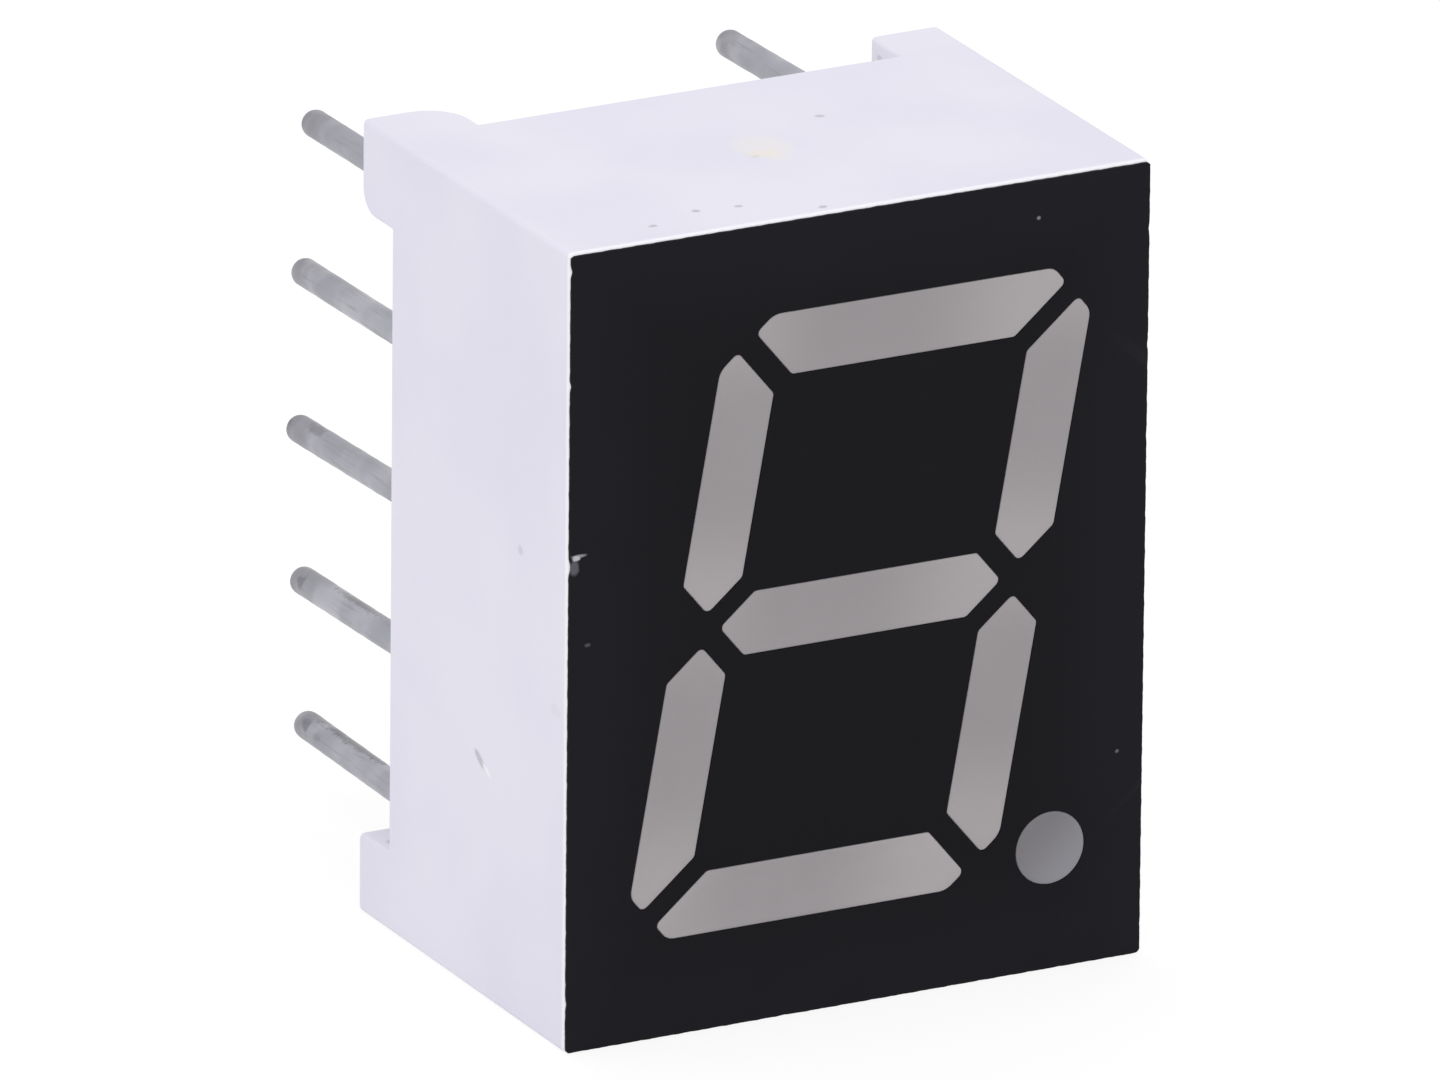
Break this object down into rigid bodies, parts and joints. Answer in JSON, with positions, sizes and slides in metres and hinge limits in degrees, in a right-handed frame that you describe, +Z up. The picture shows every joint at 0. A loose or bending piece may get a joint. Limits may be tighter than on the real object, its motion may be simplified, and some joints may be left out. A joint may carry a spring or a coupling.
{
  "type": "seven segment display",
  "caption": "Upright white box with a black face, a slanted figure of grey light bars with a decimal point, and two columns of straight wire pins at the back.",
  "frame": {"origin": "centre of the pin pattern, on the plane that the four feet seat on", "axes": "+Z up along the digit, +X to the right of a reader, +Y out of the back along the pins; the face looks along -Y"},
  "size_m": [0.01, 0.0118, 0.013],
  "materials": {
    "white_plastic": "fine satin moulding",
    "black_coat": "screen printed satin black",
    "diffuser_epoxy": "milky grey epoxy, satin",
    "board_laminate": "glass fibre laminate",
    "copper_foil": "etched copper",
    "led_crystal": "sawn crystal",
    "wire_metal": "drawn wire",
    "pin_metal": "dull tin plating",
    "solder": "smooth solder",
    "potting_epoxy": "cast epoxy"
  },
  "bodies": {
    "root": {"housing": "white_plastic", "face_coat": "black_coat", "segment_a": "diffuser_epoxy", "segment_b": "diffuser_epoxy", "segment_c": "diffuser_epoxy", "segment_d": "diffuser_epoxy", "segment_e": "diffuser_epoxy", "segment_f": "diffuser_epoxy", "segment_g": "diffuser_epoxy", "decimal_point": "diffuser_epoxy", "circuit_board": "board_laminate", "board_tracks": "copper_foil", "led_chip_a": "led_crystal", "led_chip_b": "led_crystal", "led_chip_c": "led_crystal", "led_chip_d": "led_crystal", "led_chip_e": "led_crystal", "led_chip_f": "led_crystal", "led_chip_g": "led_crystal", "led_chip_dp": "led_crystal", "bond_wire_a": "wire_metal", "bond_wire_b": "wire_metal", "bond_wire_c": "wire_metal", "bond_wire_d": "wire_metal", "bond_wire_e": "wire_metal", "bond_wire_f": "wire_metal", "bond_wire_g": "wire_metal", "bond_wire_dp": "wire_metal", "pin_1": "pin_metal", "pin_2": "pin_metal", "pin_3": "pin_metal", "pin_4": "pin_metal", "pin_5": "pin_metal", "pin_6": "pin_metal", "pin_7": "pin_metal", "pin_8": "pin_metal", "pin_9": "pin_metal", "pin_10": "pin_metal", "solder_joints": "solder", "rear_seal": "potting_epoxy"}
  },
  "joints": []
}
